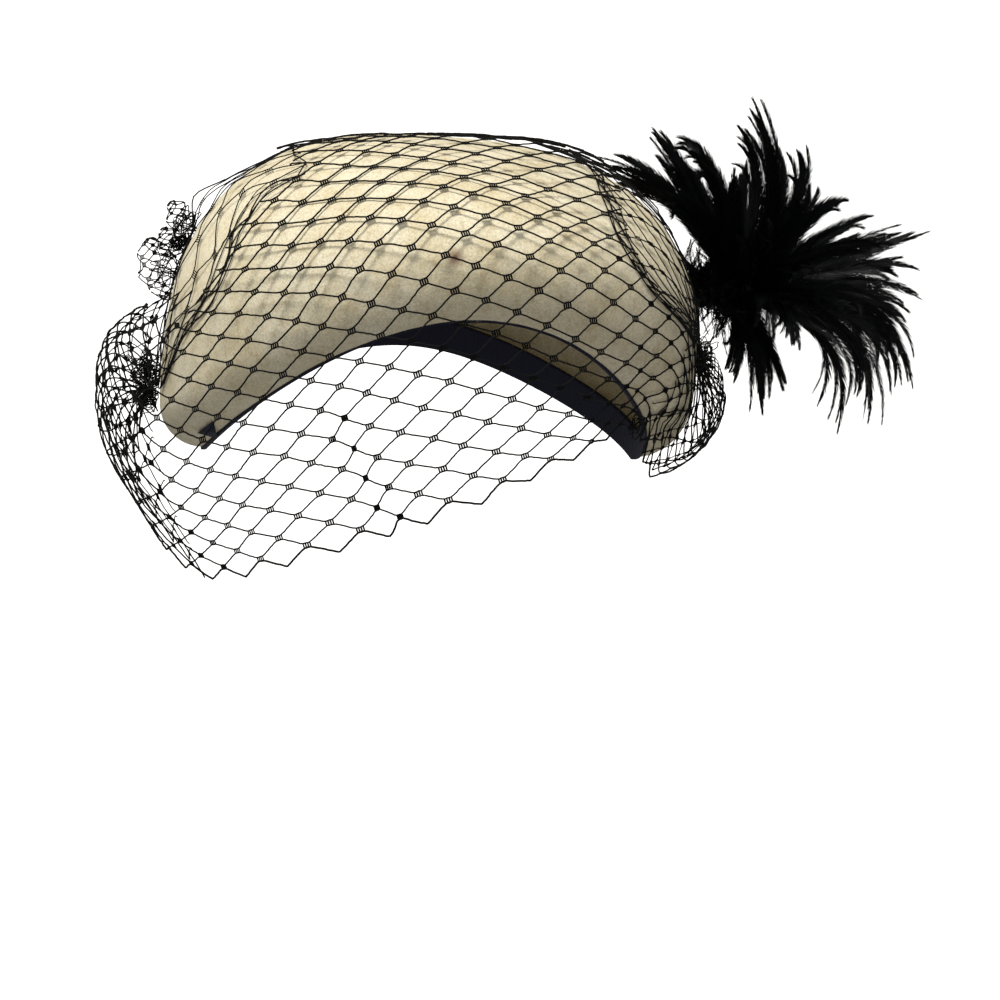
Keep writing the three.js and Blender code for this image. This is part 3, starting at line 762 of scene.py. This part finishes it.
def feather_shape(base, bend, tip, sizes, barbs, softness, seed):
    """Hackles: a tapered shaft, and barbs down both sides that lie close to it and end in
    points, so that the vane is a narrow blade with a soft edge.

    A barb's angle to the shaft falls from 27 degrees at the foot to 6 at the tip, its length
    as 0.14 + 0.86 (1 - share)^0.7. softness adds to the angles and scatters them.
    """
    random = np.random.default_rng(seed)
    count = len(base)
    shaft_t = np.broadcast_to(np.linspace(0, 1, 9), (count, 9))
    path, _ = bezier(base, bend, tip, shaft_t)
    taper = mix(sizes.shaft / 2, 0.04 * MM, np.linspace(0, 1, 9))
    parts = [sweep(path, np.broadcast_to(taper, (count, 9)), 4)]
    t = np.linspace(0.04, 0.99, barbs)[None] + random.uniform(-0.004, 0.004, (count, barbs))
    root, ahead = bezier(base, bend, tip, t)
    roll = random.uniform(-1.1, 1.1, count)
    across = unit(np.cross(ahead, [0.0, 1.0, 0.12]))
    through = np.cross(across, ahead)
    turned = across * np.cos(roll)[:, None, None] + through * np.sin(roll)[:, None, None]
    flat_normal = unit(np.cross(turned, ahead))
    size = np.minimum(np.linalg.norm(tip - base, axis=-1) / (45 * MM), 1.15)[:, None]
    vane = (0.14 + 0.86 * np.clip(1 - t, 0, 1) ** 0.7) * mix(0.45, 1, smooth(t / 0.2))
    length = sizes.barb * size * vane * random.uniform(0.7, 1.1, (count, barbs))
    for side in (-1, 1):
        angle = np.radians(mix(27, 6, t) + softness * random.normal(8, 9, (count, barbs)))
        stray = random.normal(0, 0.1 + 0.12 * softness, (count, barbs, 1))
        out = unit(
            side * turned * np.sin(angle)[..., None] + ahead * np.cos(angle)[..., None]
            + flat_normal * stray
        )
        drift = unit(out + ahead * 0.8)
        middle = root + out * (length * 0.5)[..., None]
        end = middle + drift * (length * 0.5)[..., None]
        flat = unit(np.cross(out, flat_normal)) * sizes.barb_width / 2
        points = np.stack(
            [root - flat, root + flat, middle + flat * 0.8, middle - flat * 0.8, end], 2
        ).reshape(-1, 3)
        offset = (np.arange(count * barbs) * 5)[:, None]
        parts.append((points, [offset + [0, 1, 2, 3], offset + [3, 2, 4]]))
    return join(parts)


def length_property(label, about, default, low, high):
    """A length in mm, kept between low and high."""
    return bpy.props.FloatProperty(
        name=label, description=about, default=default * MM, min=low * MM, max=high * MM,
        subtype="DISTANCE", unit="LENGTH",
    )


class HatSizes(bpy.types.PropertyGroup):
    """Sizes that can be changed before the pieces are made."""

    wall: length_property("Felt wall", "Thickness of the felt", 2.2, 1, 4)
    nap: length_property("Nap", "Length of the felt's loose fibres", 0.8, 0, 3)
    ribbon: length_property("Ribbon width", "Width of the ribbon in the opening", 12, 6, 20)
    cell_length: length_property(
        "Cell length", "A net cell's length along the selvedge", 17.4, 10, 30
    )
    cell_height: length_property(
        "Cell height", "A net cell's height across the net", 12.1, 6, 20
    )
    thread: length_property("Thread", "Diameter of the net's thread", 0.58, 0.2, 1)
    knot_length: length_property(
        "Knot length", "Length of a knot along the selvedge", 2.5, 1, 5
    )
    knot_height: length_property(
        "Knot height", "Distance between a knot's two rails", 1.9, 1, 4
    )
    barb: length_property("Barb", "Length of a feather's longest barbs", 13, 3, 20)
    barb_width: length_property("Barb width", "Width of a barb at its root", 0.2, 0.1, 1)
    shaft: length_property(
        "Shaft", "Diameter of a feather's shaft at its foot", 0.7, 0.3, 2
    )
    barbs: bpy.props.IntProperty(
        name="Barbs", description="Barbs down each side of a feather", default=180,
        min=20, max=200,
    )
    per_lock: bpy.props.IntProperty(
        name="Feathers in a lock", description="Feathers made for each lock", default=5,
        min=1, max=8,
    )


def colour_property(label, slot):
    """A colour whose default is the record's own for that slot."""
    return bpy.props.FloatVectorProperty(
        name=label, description=FINISH[slot]["finish"], subtype="COLOR", size=3,
        min=0, max=1, default=FINISH[slot]["base_color"],
    )


class HatColours(bpy.types.PropertyGroup):
    """Colours of the hat's finishes."""

    felt: colour_property("Felt", "felt")
    ribbon: colour_property("Ribbon", "ribbon")
    net: colour_property("Net", "net")
    feather: colour_property("Feathers", "feather")


class Finish:
    """A material's nodes, added and linked by short calls."""

    def __init__(self, name, colour, **sockets):
        self.material = bpy.data.materials.new(name)
        self.material.use_nodes = True
        self.tree = self.material.node_tree
        self.shader = self.tree.nodes["Principled BSDF"]
        self.shader.inputs["Base Color"].default_value = (*colour, 1)
        for socket, value in sockets.items():
            self.shader.inputs[socket.replace("_", " ")].default_value = value

    def feed(self, node, sockets):
        """The node, with its sockets by name or number linked to a socket or set."""
        for key, value in sockets.items():
            if isinstance(value, bpy.types.NodeSocket):
                self.tree.links.new(value, node.inputs[key])
            else:
                node.inputs[key].default_value = value
        return node

    def add(self, kind, **values):
        """A node of that kind, with sockets and settings by name; a socket gets a link."""
        node = self.tree.nodes.new(kind)
        sockets = {}
        for key, value in values.items():
            if hasattr(node, key):
                setattr(node, key, value)
            else:
                sockets[key.replace("_", " ")] = value
        return self.feed(node, sockets)

    def calculate(self, operation, *values):
        """A number worked out from one or two others."""
        node = self.add("ShaderNodeMath", operation=operation)
        return self.feed(node, dict(enumerate(values))).outputs[0]

    def link(self, output, socket):
        self.tree.links.new(output, self.shader.inputs[socket])

    def place(self):
        return self.add("ShaderNodeTexCoord").outputs["Object"]

    def noise(self, scale, detail=4.0, roughness=0.6):
        """Noise on the piece's own place, scale in bumps to the metre."""
        return self.add(
            "ShaderNodeTexNoise", Vector=self.place(), Scale=scale, Detail=detail,
            Roughness=roughness,
        ).outputs["Fac"]

    def ramp(self, value, stops):
        """Colours by value."""
        node = self.add("ShaderNodeValToRGB", Fac=value)
        ramp = node.color_ramp
        while len(ramp.elements) < len(stops):
            ramp.elements.new(0.5)
        for element, (position, colour) in zip(ramp.elements, stops):
            element.position = position
            element.color = (*colour, 1)
        return node.outputs["Color"]

    def blend(self, share, first, second, mode="MIX"):
        """Two colours blended by share."""
        node = self.add("ShaderNodeMix", data_type="RGBA", blend_type=mode)
        return self.feed(node, {0: share, 6: first, 7: second}).outputs[2]

    def bump(self, height, distance, strength=1.0):
        node = self.add("ShaderNodeBump", Height=height, Strength=strength, Distance=distance)
        self.link(node.outputs["Normal"], "Normal")


STAIN = (-0.0134, -0.0801, 0.0867)


def felt_finish(colour):
    """Wool felt: fine speckle and soft patches on the cream, one brown stain, a brushed bump
    and a little sheen."""
    finish = Finish(
        "wool_felt", colour, Roughness=0.95, Sheen_Weight=0.15, Sheen_Roughness=0.6,
        Specular_IOR_Level=0.1,
    )
    finish.shader.inputs["Sheen Tint"].default_value = (1.0, 0.97, 0.88, 1)
    cream = np.array(colour)
    speckle = finish.ramp(finish.noise(1500, 3), [
        (0.3, tuple(cream * 0.74)), (0.52, tuple(cream)),
        (0.75, tuple(np.minimum(cream * 1.2, 1))),
    ])
    patches = finish.ramp(finish.noise(70, 4), [(0.36, (0.88, 0.84, 0.75)), (0.62, (1, 1, 1))])
    flecks = finish.ramp(finish.noise(330, 3), [(0.33, (0.87, 0.83, 0.76)), (0.48, (1, 1, 1))])
    base = finish.blend(1.0, finish.blend(1.0, speckle, patches, "MULTIPLY"), flecks, "MULTIPLY")
    offset = finish.add("ShaderNodeVectorMath", operation="DISTANCE")
    finish.feed(offset, {0: finish.place(), 1: STAIN})
    stain = finish.ramp(offset.outputs["Value"], [(0.0004, (1, 1, 1)), (0.0013, (0, 0, 0))])
    finish.link(finish.blend(stain, base, (0.13, 0.045, 0.02, 1)), "Base Color")
    finish.bump(finish.noise(1900, 5, 0.75), 0.5 * MM, 0.6)
    return finish.material


def thread_finish(colour):
    """Spun black thread: matt, with a faint twist in the bump."""
    finish = Finish("net_thread", tuple(np.array(colour) * 0.4), Roughness=0.75,
                    Specular_IOR_Level=0.12)
    finish.bump(finish.noise(2500, 2), 0.1 * MM, 0.4)
    return finish.material


def grosgrain_finish(colour):
    """Ribbed ribbon: ribs as RIBBON_RIBS sine waves of bump round the crown's axis."""
    finish = Finish("grosgrain", colour, Roughness=0.7, Specular_IOR_Level=0.2)
    axes = finish.add("ShaderNodeSeparateXYZ", Vector=finish.place()).outputs
    turn = finish.calculate("ARCTAN2", axes["Y"], axes["X"])
    wave = finish.calculate("SINE", finish.calculate("MULTIPLY", turn, RIBBON_RIBS))
    finish.bump(wave, 0.15 * MM, 0.5)
    return finish.material


def feather_finish(colour):
    """Hackle barbs: deep black with streaks of soft gloss."""
    finish = Finish(
        "hackle_barbs", tuple(np.array(colour) * 0.45), Roughness=0.4, Specular_IOR_Level=0.08,
    )
    rough = finish.add("ShaderNodeMapRange", Value=finish.noise(400, 2), To_Min=0.28, To_Max=0.6)
    finish.link(rough.outputs["Result"], "Roughness")
    return finish.material


class HAT_OT_crown(bpy.types.Operator):
    """Make the moulded felt crown"""

    bl_idname = "hat.crown"
    bl_label = "Felt crown"

    def execute(self, context):
        sizes, colours = context.scene.hat_sizes, context.scene.hat_colours
        around, up = FELT_AROUND, FELT_UP
        angle = np.broadcast_to(np.arange(around) * 2 * math.pi / around, (up, around))
        rise = np.broadcast_to((np.arange(up) / up)[:, None], (up, around))
        outside, edge, inside = felt_points(angle, rise, sizes.wall)
        rings = np.concatenate([outside, edge, inside])
        poles = np.array([[0, 0, CROWN_HEIGHT], [0, 0, CROWN_HEIGHT - sizes.wall]])
        points = np.concatenate([rings.reshape(-1, 3), poles])
        quads = grid_faces(len(rings), around, closed_columns=True)[:, ::-1]
        here, after = np.arange(around), (np.arange(around) + 1) % around
        last = (len(rings) - 1) * around
        pole = len(points) - 2
        top = np.stack([here, after, np.full(around, pole)], 1)
        under = np.stack([last + after, last + here, np.full(around, pole + 1)], 1)
        felt = felt_finish(colours.felt)
        make_mesh("felt_crown", (points, [quads, top, under]), felt, "crown")
        make_mesh("felt_nap", nap_shape(sizes.nap, NAP_FIBRES, 9), felt, "crown")
        return {"FINISHED"}


# Corners of the ribbon's turned end over the right lobe, in mm
TAB = [(-84.2, -21.6, 11.3), (-77.6, -21.0, 9.4), (-80.3, -31.2, 18.2)]


class HAT_OT_ribbon(bpy.types.Operator):
    """Make the ribbed ribbon inside the head opening"""

    bl_idname = "hat.ribbon"
    bl_label = "Inner ribbon"

    def execute(self, context):
        sizes, colours = context.scene.hat_sizes, context.scene.hat_colours
        around, up = RIBBON_AROUND, RIBBON_UP
        angle = np.arange(around)[:, None] * 2 * math.pi / around
        rim, _, _ = crown_levels(angle)
        turn = np.linspace(0, 1, up)[None]
        height = rim - RIBBON_SHOW + turn * sizes.ribbon
        outer = rim_oval(angle) - RIBBON_GAP + 0 * turn
        radius = np.concatenate([outer, outer[:, ::-1] - RIBBON_WALL], 1)
        level = np.concatenate([height, height[:, ::-1]], 1)
        points = np.stack([radius * np.cos(angle), radius * np.sin(angle), level], -1)
        shape = points.reshape(-1, 3), [
            grid_faces(around, 2 * up, closed_rows=True, closed_columns=True)[:, ::-1]
        ]
        grosgrain = grosgrain_finish(colours.ribbon)
        make_mesh("grosgrain_ribbon", shape, grosgrain, "inner_ribbon")
        front = np.array(TAB) * MM
        back = front + np.array([0.5, 0.4, 0.1]) * MM
        around = np.arange(3)
        after = (around + 1) % 3
        walls = np.stack([around, around + 3, after + 3, after], 1)
        faces = [np.array([[0, 1, 2]]), np.array([[5, 4, 3]]), walls]
        shape = np.concatenate([front, back]), faces
        make_mesh("ribbon_tab", shape, grosgrain, "inner_ribbon")
        return {"FINISHED"}


# The crease in the hanging net: shares of the width, and its distances from the middle
CREASE = ((0, 0.07, 0.14, 0.2, 0.3), (0.0465, 0.0496, 0.0515, 0.0543, 0.0575))

# The squeezed net beyond each fold, from the top down to the gather: rows as in VEIL_SECTIONS
# from the fold to the upper edge
RIGHT_SHOULDER = {
    "top": [(-.57, .41, .915), (-.55, .21, .94), (-.56, -.06, .925), (-.57, -.20, .91)],
    "second": [(-.70, .40, .84), (-.76, .15, .85), (-.78, -.08, .825), (-.79, -.22, .82)],
    "third": [(-.77, .43, .75), (-.83, .20, .76), (-.86, -.08, .75), (-.90, -.20, .755)],
    "fourth": [(-.81, .49, .65), (-.88, .30, .65), (-.91, -.08, .63), (-.90, -.22, .64)],
    "fifth": [(-.87, .47, .53), (-.93, .29, .54), (-.96, -.06, .51), (-.95, -.20, .54)],
    "sixth": [(-.93, .34, .42), (-.97, .20, .43), (-.98, -.04, .41), (-.98, -.16, .44)],
    "seventh": [(-.97, .22, .30), (-.99, .11, .30), (-1.00, -.05, .30), (-1.01, -.12, .33)],
    "gather": [(-1.01, .09, .20), (-1.01, .02, .19), (-1.01, -.03, .19), (-1.02, -.08, .20)],
}
LEFT_SHOULDER = {
    "top": [(.33, -.08, 1.00), (.40, -.06, .99), (.47, -.08, .98), (.49, -.17, .98)],
    "second": [(.46, .24, .97), (.59, .12, .94), (.66, .04, .91), (.68, -.15, .92)],
    "third": [(.45, .55, .90), (.58, .44, .88), (.75, .20, .83), (.79, -.12, .86)],
    "fourth": [(.46, .75, .82), (.60, .65, .79), (.78, .39, .75), (.88, -.10, .78)],
    "fifth": [(.55, .80, .71), (.66, .70, .68), (.81, .49, .65), (.95, -.05, .68)],
    "sixth": [(.67, .73, .62), (.75, .64, .59), (.85, .48, .55), (.99, .02, .57)],
    "gather": [(.84, .53, .49), (.89, .47, .47), (.93, .33, .45), (1.02, .10, .44)],
}
# Shoulder, its mesh's length and height in mm, half rows across it, each row's slant in mm, the
# share of the veil's width where its fold starts, and the veil's side
SHOULDERS = [
    (LEFT_SHOULDER, (10.5, 9), 9, 5.0, 0.29, -1), (RIGHT_SHOULDER, (24, 7.5), 9, 0.0, 0.5, 1),
]
# Inner layers of the bags: sections, the gather they are drawn towards and how far, and mesh
INNER_BAGS = [
    (("right_corner", "right_billow", "right_back", "right_gather"), (-1.03, -0.22, 0.16), 0.32,
     (14, 9.5), 15),
    (("left_corner", "left_bag", "left_pouf", "left_gather"), (1.03, 0.1, 0.36), 0.2, (11, 7), 15),
]
# Small puffs of net above the right gather: centre and half sizes in mm, lean in degrees
PUFFS = [
    ((-97, 12, 60.5), (7, 9, 10.5), 18), ((-89.5, 12, 77), (4.5, 7, 8), 30),
    ((-93.5, 15, 69), (4, 6, 5), 20),
]
# Bunches of sewn-down net: centre, half sizes, number of loops and their radius, in mm
BUNCHES = [
    ((98, -6, 40), (5, 7, 11), 50, 4.5), ((-99, 18, 24), (3.5, 6, 6), 30, 4),
    ((-99, 18, 14), (3.5, 6, 5), 34, 4),
    ((-95, 12, 62), (3, 5, 9), 10, 4), ((-88, 13, 76), (3, 5, 6), 12, 4),
    ((-90, 14, 70), (3, 4, 3), 14, 3), ((59, -58, 28), (3, 3, 4), 6, 4),
]


class HAT_OT_veil(bpy.types.Operator):
    """Make the knotted veil and the bunches where it is sewn down"""

    bl_idname = "hat.veil"
    bl_label = "Veil"

    def execute(self, context):
        sizes, colours = context.scene.hat_sizes, context.scene.hat_colours
        drape = Drape(VEIL_SECTIONS, NET_CLEARANCE, NET_STAND_OFF)
        strips = [
            Drape(row[0], NET_CLEARANCE, STRIP_STAND_OFF, centred=False) for row in SHOULDERS
        ]
        drape.folds = [
            drape.fold_at(strip.edge(), row[4], row[5]) for strip, row in zip(strips, SHOULDERS)
        ]
        cell = (sizes.cell_length, sizes.cell_height)
        thread = thread_finish(colours.net)
        halves = {
            "net_left": lambda distance, width: distance < 0,
            "net_right": lambda distance, width: distance >= 0,
        }
        for name, keep in halves.items():
            net = net_shape(drape, sizes, cell, NET_HALF_ROWS, keep, stations=10, thin=1)
            make_mesh(name, net, thread, "veil")
        folds = []
        for strip, (_, mesh, rows, slant, _, _) in zip(strips, SHOULDERS):
            folds.append(net_shape(strip, sizes, np.array(mesh) * MM, rows, slant=slant * MM))
            folds.append(fold_cords(strip, sizes, FOLD_CORDS, FOLD_SEED))
        for names, anchor, share, mesh, rows in INNER_BAGS:
            bag = {
                name: mix(np.array(VEIL_SECTIONS[name][:4]), anchor, share * step / 3)
                for step, name in enumerate(names)
            }
            strip = Drape(bag, NET_CLEARANCE, centred=False)
            folds.append(net_shape(strip, sizes, np.array(mesh) * MM, rows))
        for centre, size, lean in PUFFS:
            puff = Puff(centre, size, lean)
            folds.append(net_shape(puff, sizes, np.array(PUFF_MESH) * MM, PUFF_ROWS))
        make_mesh("net_folds", join(folds), thread, "veil")
        bunches = [
            tangle(
                np.array(centre) * MM, np.array(size) * MM, loops, radius * MM,
                sizes.thread * BUNCH_THREAD, index,
            )
            for index, (centre, size, loops, radius) in enumerate(BUNCHES)
        ]
        make_mesh("net_bunches", join(bunches), thread, "veil")
        return {"FINISHED"}


class HAT_OT_feathers(bpy.types.Operator):
    """Make the burst of hackle feathers"""

    bl_idname = "hat.feathers"
    bl_label = "Feathers"

    def execute(self, context):
        sizes, colours = context.scene.hat_sizes, context.scene.hat_colours
        barbs = feather_finish(colours.feather)
        base, bend, tip = feather_paths(sizes.per_lock, 11)
        upper = tip[:, 2] > HUB[2] + 20 * MM
        for name, part in (("feathers_upper", upper), ("feathers_lower", ~upper)):
            shape = feather_shape(
                base[part], bend[part], tip[part], sizes, sizes.barbs, 0.25, 12
            )
            make_mesh(name, shape, barbs, "feathers")
        shape = feather_shape(*fluff_paths(FLUFF_FEATHERS, 13), sizes, FLUFF_BARBS, 1.0, 14)
        make_mesh("feather_fluff", shape, barbs, "feathers")
        start = np.array([HALF_WIDTH - 1 * MM, HUB[1], HUB[2]])
        path = mix(start, HUB, np.linspace(0, 1, 12)[:, None])[None]
        wrap = STEM_RADIUS * (1 + 0.06 * np.cos(np.arange(12) * math.pi))[None]
        make_mesh("bound_stem", sweep(path, wrap, STEM_SIDES), barbs, "feathers")
        return {"FINISHED"}


# Camera: where it stands and the directions of its right, up and backward axes
CAMERA_PLACE = (-0.1380, -0.6223, 0.1874)
CAMERA_AXES = (
    (0.9685, -0.2308, 0.0939), (-0.0163, 0.3173, 0.9482), (-0.2487, -0.9198, 0.3036),
)
CAMERA_LENS, SENSOR_WIDTH = 65.52, 36
FLOOR_LEVEL, FLOOR_SIZE = -0.6, 160
SKY_STRENGTH = 0.43
# Lights: direction towards each, power, spread in degrees and colour
LIGHTS = {
    "key": ((-0.33, -0.24, 0.92), 4.3, 24, (1, 0.985, 0.955)),
    "fill": ((-0.3, -0.8, 0.2), 0.25, 40, (0.97, 0.98, 1)),
}


def stand(name, data, axes):
    """An object in the scene whose own X, Y and Z lie along the three axes given."""
    thing = bpy.data.objects.new(name, data)
    thing.rotation_mode = "QUATERNION"
    thing.rotation_quaternion = Matrix(np.transpose(axes).tolist()).to_quaternion()
    bpy.context.scene.collection.objects.link(thing)
    return thing


class HAT_OT_stage(bpy.types.Operator):
    """Make the floor, the lights and the camera"""

    bl_idname = "hat.stage"
    bl_label = "Stage"

    def execute(self, context):
        scene = context.scene
        bpy.ops.mesh.primitive_plane_add(size=FLOOR_SIZE, location=(0, 0, FLOOR_LEVEL))
        floor = context.object
        floor.name = "floor"
        floor.data.materials.append(Finish("floor", (0.88, 0.88, 0.88), Roughness=0.9).material)
        floor.visible_diffuse = False
        floor.visible_glossy = False
        for name, (toward, power, spread, colour) in LIGHTS.items():
            data = bpy.data.lights.new(name, "SUN")
            data.angle = math.radians(spread)
            data.energy = power
            data.color = colour
            aim = unit(np.array(toward))
            across = unit(np.cross([0, 0, 1], aim))
            stand(name, data, [across, np.cross(aim, across), aim])
        world = bpy.data.worlds.new("studio")
        world.use_nodes = True
        tree = world.node_tree
        soft = tree.nodes["Background"]
        wall = tree.nodes.new("ShaderNodeBackground")
        for shade in (soft, wall):
            shade.inputs["Color"].default_value = (1, 1, 1, 1)
        soft.inputs["Strength"].default_value = SKY_STRENGTH
        seen = tree.nodes.new("ShaderNodeLightPath")
        both = tree.nodes.new("ShaderNodeMixShader")
        tree.links.new(seen.outputs["Is Camera Ray"], both.inputs[0])
        tree.links.new(soft.outputs[0], both.inputs[1])
        tree.links.new(wall.outputs[0], both.inputs[2])
        tree.links.new(both.outputs[0], tree.nodes["World Output"].inputs["Surface"])
        scene.world = world
        scene.view_settings.view_transform = "Standard"
        data = bpy.data.cameras.new("camera")
        data.lens = CAMERA_LENS
        data.sensor_width = SENSOR_WIDTH
        camera = stand("camera", data, CAMERA_AXES)
        camera.location = CAMERA_PLACE
        scene.camera = camera
        return {"FINISHED"}


class HAT_PT_pieces(bpy.types.Panel):
    """The hat's pieces, sizes and colours"""

    bl_label = "Cocktail hat"
    bl_space_type = "VIEW_3D"
    bl_region_type = "UI"
    bl_category = "Hat"

    def draw(self, context):
        for group in (context.scene.hat_sizes, context.scene.hat_colours):
            for name in group.__annotations__:
                self.layout.prop(group, name)
        for operator in OPERATORS:
            self.layout.operator(operator.bl_idname)


OPERATORS = (HAT_OT_crown, HAT_OT_ribbon, HAT_OT_veil, HAT_OT_feathers, HAT_OT_stage)
CLASSES = (HatSizes, HatColours, *OPERATORS, HAT_PT_pieces)


def register():
    for each in CLASSES:
        bpy.utils.register_class(each)
    bpy.types.Scene.hat_sizes = bpy.props.PointerProperty(type=HatSizes)
    bpy.types.Scene.hat_colours = bpy.props.PointerProperty(type=HatColours)


def unregister():
    del bpy.types.Scene.hat_colours
    del bpy.types.Scene.hat_sizes
    for each in reversed(CLASSES):
        bpy.utils.unregister_class(each)


def main():
    """Makes the hat piece by piece."""
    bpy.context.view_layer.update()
    register()
    bpy.ops.hat.crown()
    bpy.ops.hat.ribbon()
    bpy.ops.hat.veil()
    bpy.ops.hat.feathers()
    bpy.ops.hat.stage()


if __name__ == "__main__":
    main()
